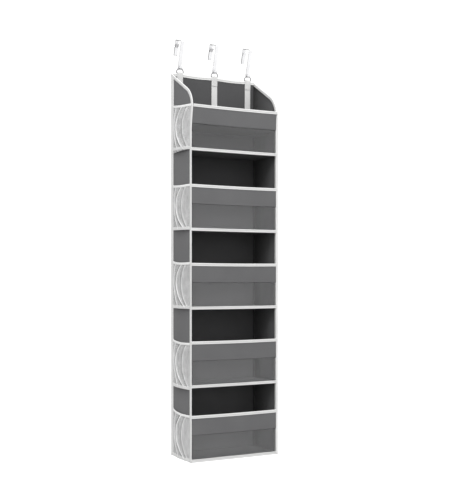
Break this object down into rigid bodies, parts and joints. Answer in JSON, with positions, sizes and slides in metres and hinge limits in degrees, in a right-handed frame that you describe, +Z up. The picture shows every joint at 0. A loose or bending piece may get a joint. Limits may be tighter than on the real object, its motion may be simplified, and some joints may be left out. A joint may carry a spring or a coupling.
{
  "type": "over-door shoe organizer",
  "caption": "Hanging fabric shoe organizer with windowed pockets, mesh side pockets, a lift-up top shelf and steel hooks that go over a door.",
  "frame": {"origin": "middle of the back panel's rear face, which rests on the door", "axes": "+Z up, +Y back into the door, so the front faces -Y; +X to the right seen from the front"},
  "size_m": [0.347, 0.1949, 1.4313],
  "materials": {
    "grey_fabric": "matte non-woven cloth",
    "binding_tape": "fine ribbed woven tape",
    "webbing": "ribbed webbing",
    "mesh": "fine knitted mesh",
    "elastic": "ribbed elastic",
    "clear_film": "clear flexible film",
    "board": "plain stiff board",
    "ring_steel": "polished wire",
    "hook_steel": "polished strip"
  },
  "bodies": {
    "organizer": {"back_panel": "grey_fabric", "back_top_binding": "binding_tape", "band_binding_1": "binding_tape", "band_binding_2": "binding_tape", "band_binding_3": "binding_tape", "band_binding_4": "binding_tape", "band_binding_5": "binding_tape", "clear_window_1": "clear_film", "clear_window_2": "clear_film", "clear_window_3": "clear_film", "clear_window_4": "clear_film", "clear_window_5": "clear_film", "floor_binding_1": "binding_tape", "floor_binding_2": "binding_tape", "floor_binding_3": "binding_tape", "floor_binding_4": "binding_tape", "floor_binding_5": "binding_tape", "floor_boards": "board", "floor_panel_1": "grey_fabric", "floor_panel_2": "grey_fabric", "floor_panel_3": "grey_fabric", "floor_panel_4": "grey_fabric", "floor_panel_5": "grey_fabric", "front_band_1": "grey_fabric", "front_band_2": "grey_fabric", "front_band_3": "grey_fabric", "front_band_4": "grey_fabric", "front_band_5": "grey_fabric", "left_corner_binding": "binding_tape", "left_front_binding": "binding_tape", "left_mesh_pocket_1": "mesh", "left_mesh_pocket_2": "mesh", "left_mesh_pocket_3": "mesh", "left_mesh_pocket_4": "mesh", "left_mesh_pocket_5": "mesh", "left_side_panel": "grey_fabric", "mesh_pocket_elastics": "elastic", "mesh_pocket_hems": "binding_tape", "right_corner_binding": "binding_tape", "right_front_binding": "binding_tape", "right_mesh_pocket_1": "mesh", "right_mesh_pocket_2": "mesh", "right_mesh_pocket_3": "mesh", "right_mesh_pocket_4": "mesh", "right_mesh_pocket_5": "mesh", "right_side_panel": "grey_fabric", "shelf_hinge_tape": "grey_fabric", "shelf_rest_tabs": "grey_fabric", "strap_left": "webbing", "strap_middle": "webbing", "strap_right": "webbing"},
    "tray_shelf": {"tray_shelf": "grey_fabric", "shelf_board": "board"},
    "ring_left": {"d_ring_left": "ring_steel"},
    "hook_left": {"door_hook_left": "hook_steel"},
    "ring_middle": {"d_ring_middle": "ring_steel"},
    "hook_middle": {"door_hook_middle": "hook_steel"},
    "ring_right": {"d_ring_right": "ring_steel"},
    "hook_right": {"door_hook_right": "hook_steel"}
  },
  "joints": [
    {"name": "shelf_lift", "type": "hinge", "parent": "organizer", "child": "tray_shelf", "pos_m": [0, -0.0075, 0.4595], "axis": [-1, 0, 0], "range_deg": [0, 80]},
    {"name": "ring_left_swing", "type": "hinge", "parent": "organizer", "child": "ring_left", "pos_m": [-0.133, -0.0037, 0.6574], "axis": [1, 0, 0], "range_deg": [-25, 55]},
    {"name": "hook_left_swing", "type": "hinge", "parent": "ring_left", "child": "hook_left", "pos_m": [-0.133, -0.0057, 0.67164], "axis": [1, 0, 0], "range_deg": [-90, 75]},
    {"name": "ring_middle_swing", "type": "hinge", "parent": "organizer", "child": "ring_middle", "pos_m": [0, -0.0037, 0.6574], "axis": [1, 0, 0], "range_deg": [-25, 55]},
    {"name": "hook_middle_swing", "type": "hinge", "parent": "ring_middle", "child": "hook_middle", "pos_m": [0, -0.0057, 0.67164], "axis": [1, 0, 0], "range_deg": [-90, 75]},
    {"name": "ring_right_swing", "type": "hinge", "parent": "organizer", "child": "ring_right", "pos_m": [0.133, -0.0037, 0.6574], "axis": [1, 0, 0], "range_deg": [-25, 55]},
    {"name": "hook_right_swing", "type": "hinge", "parent": "ring_right", "child": "hook_right", "pos_m": [0.133, -0.0057, 0.67164], "axis": [1, 0, 0], "range_deg": [-90, 75]}
  ]
}
